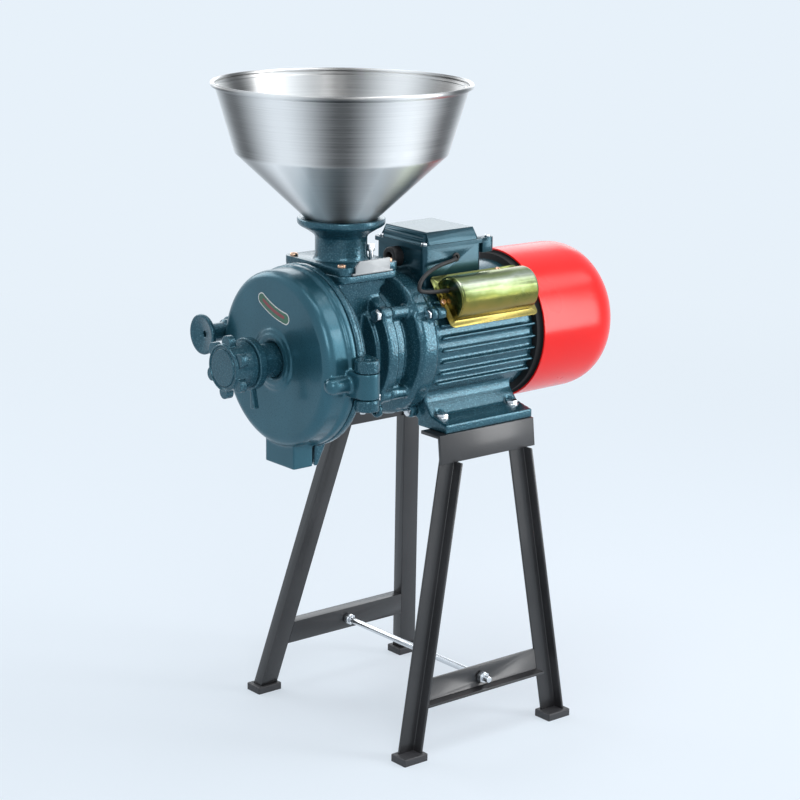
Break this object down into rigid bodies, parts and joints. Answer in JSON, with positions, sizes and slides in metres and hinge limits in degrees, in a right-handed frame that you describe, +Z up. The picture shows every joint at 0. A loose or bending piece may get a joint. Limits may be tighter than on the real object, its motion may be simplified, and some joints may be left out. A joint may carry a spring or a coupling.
{
  "type": "grain mill",
  "caption": "Floor-standing electric disc mill for grain: round steel hopper, hinged grinding head, motor with red cowl, on an angle-iron stand.",
  "frame": {"origin": "on the floor under the middle of the mill's bounding box", "axes": "+Z up, -X towards the grinding head, +X towards the fan cowl, -Y the side with the cover's hinge and the capacitor"},
  "size_m": [0.553, 0.3124, 0.777],
  "materials": {
    "hammertone": "teal-blue hammertone paint on castings",
    "red_paint": "glossy red",
    "black_paint": "black satin",
    "stand_paint": "dark grey satin",
    "stainless": "brushed",
    "steel": "ground",
    "bright_zinc": "bright zinc plate",
    "yellow_zinc": "iridescent yellow zinc plate",
    "brass": "polished",
    "copper": "enamelled copper wire",
    "iron": "ground cast iron",
    "laminations": "stacked sheet steel",
    "rubber": "black",
    "pad_plastic": "dark grey",
    "fan_plastic": "black",
    "can": "drawn aluminium can",
    "board": "brown phenolic",
    "badge": "plain green badge"
  },
  "bodies": {
    "base": {"near_rail": "stand_paint", "far_rail": "stand_paint", "near_front_leg": "stand_paint", "near_rear_leg": "stand_paint", "far_front_leg": "stand_paint", "far_rear_leg": "stand_paint", "near_crossbar": "stand_paint", "far_crossbar": "stand_paint", "tie_rod": "bright_zinc", "tie_rod_nuts": "bright_zinc", "foot_bolts": "bright_zinc", "foot_nuts": "bright_zinc", "shield_bolts": "bright_zinc", "housing_bolts": "bright_zinc", "cowl_screws": "bright_zinc", "lid_screws": "bright_zinc", "foot_pads": "pad_plastic", "motor_frame": "hammertone", "front_end_shield": "hammertone", "terminal_box": "hammertone", "terminal_box_lid": "hammertone", "mill_housing": "hammertone", "feed_throat": "hammertone", "hinge_pin": "hammertone", "rear_end_shield": "black_paint", "stator_core": "laminations", "stator_windings": "copper", "front_bearing": "steel", "rear_bearing": "steel", "fixed_disc_screws": "steel", "fan_cowl": "red_paint", "terminal_board": "board", "terminal_studs": "brass", "throat_screws": "brass", "capacitor_screws": "brass", "cable_bush": "rubber", "lead_grommet": "rubber", "capacitor_lead": "rubber", "shaft_seal": "rubber", "capacitor": "can", "capacitor_cover": "yellow_zinc", "fixed_disc": "iron"},
    "rotor": {"motor_shaft": "steel", "rotor_core": "laminations", "cooling_fan": "fan_plastic", "feed_auger": "iron", "disc_spring": "steel"},
    "grinding_disc": {"moving_disc": "iron"},
    "cover": {"front_cover": "hammertone", "cover_badge": "badge", "adjusting_sleeve": "hammertone"},
    "lock_ring": {"lock_ring": "hammertone"},
    "thrust_pin": {"thrust_pin": "steel", "thrust_ball": "steel"},
    "adjusting_knob": {"adjusting_knob": "hammertone"},
    "clamp_screw": {"clamp_screw": "bright_zinc"},
    "clamp_knob": {"clamp_knob": "hammertone"},
    "gate": {"slide_gate": "bright_zinc"},
    "gate_lock": {"gate_lock_screw": "bright_zinc"},
    "hopper": {"hopper": "stainless"}
  },
  "joints": [
    {"name": "rotor_spin", "type": "hinge", "parent": "base", "child": "rotor", "pos_m": [0.04145, 0, 0.467], "axis": [1, 0, 0], "continuous": true},
    {"name": "disc_travel", "type": "slide", "parent": "rotor", "child": "grinding_disc", "axis": [-1, 0, 0], "range_m": [0, 0.003]},
    {"name": "cover_swing", "type": "hinge", "parent": "base", "child": "cover", "pos_m": [-0.16555, -0.1215, 0.455], "axis": [0, 0, 1], "range_deg": [0, 105]},
    {"name": "thrust_travel", "type": "slide", "parent": "cover", "child": "thrust_pin", "axis": [-1, 0, 0], "range_m": [0, 0.003]},
    {"name": "adjusting_knob_turn", "type": "hinge", "parent": "thrust_pin", "child": "adjusting_knob", "pos_m": [-0.25995, 0, 0.467], "axis": [-1, 0, 0], "range_deg": [0, 540]},
    {"name": "lock_ring_turn", "type": "hinge", "parent": "cover", "child": "lock_ring", "pos_m": [-0.23955, 0, 0.467], "axis": [-1, 0, 0], "range_deg": [0, 90]},
    {"name": "clamp_travel", "type": "slide", "parent": "cover", "child": "clamp_screw", "axis": [-1, 0, 0], "range_m": [0, 0.015]},
    {"name": "clamp_knob_turn", "type": "hinge", "parent": "clamp_screw", "child": "clamp_knob", "pos_m": [-0.20355, 0.118, 0.477], "axis": [-1, 0, 0], "range_deg": [0, 3600]},
    {"name": "gate_slide", "type": "slide", "parent": "base", "child": "gate", "axis": [0, -1, 0], "range_m": [0, 0.066]},
    {"name": "gate_lock_turn", "type": "hinge", "parent": "base", "child": "gate_lock", "pos_m": [-0.08255, -0.023, 0.58], "axis": [0, 0, 1], "range_deg": [0, 180]},
    {"name": "hopper_lift", "type": "slide", "parent": "base", "child": "hopper", "axis": [0, 0, 1], "range_m": [0, 0.028]}
  ],
  "couplings": [
    {"joint": "disc_travel", "follows": "adjusting_knob_turn", "m_per_rad": 0.000318},
    {"joint": "thrust_travel", "follows": "adjusting_knob_turn", "m_per_rad": 0.000318},
    {"joint": "clamp_travel", "follows": "clamp_knob_turn", "m_per_rad": 0.0002387}
  ]
}
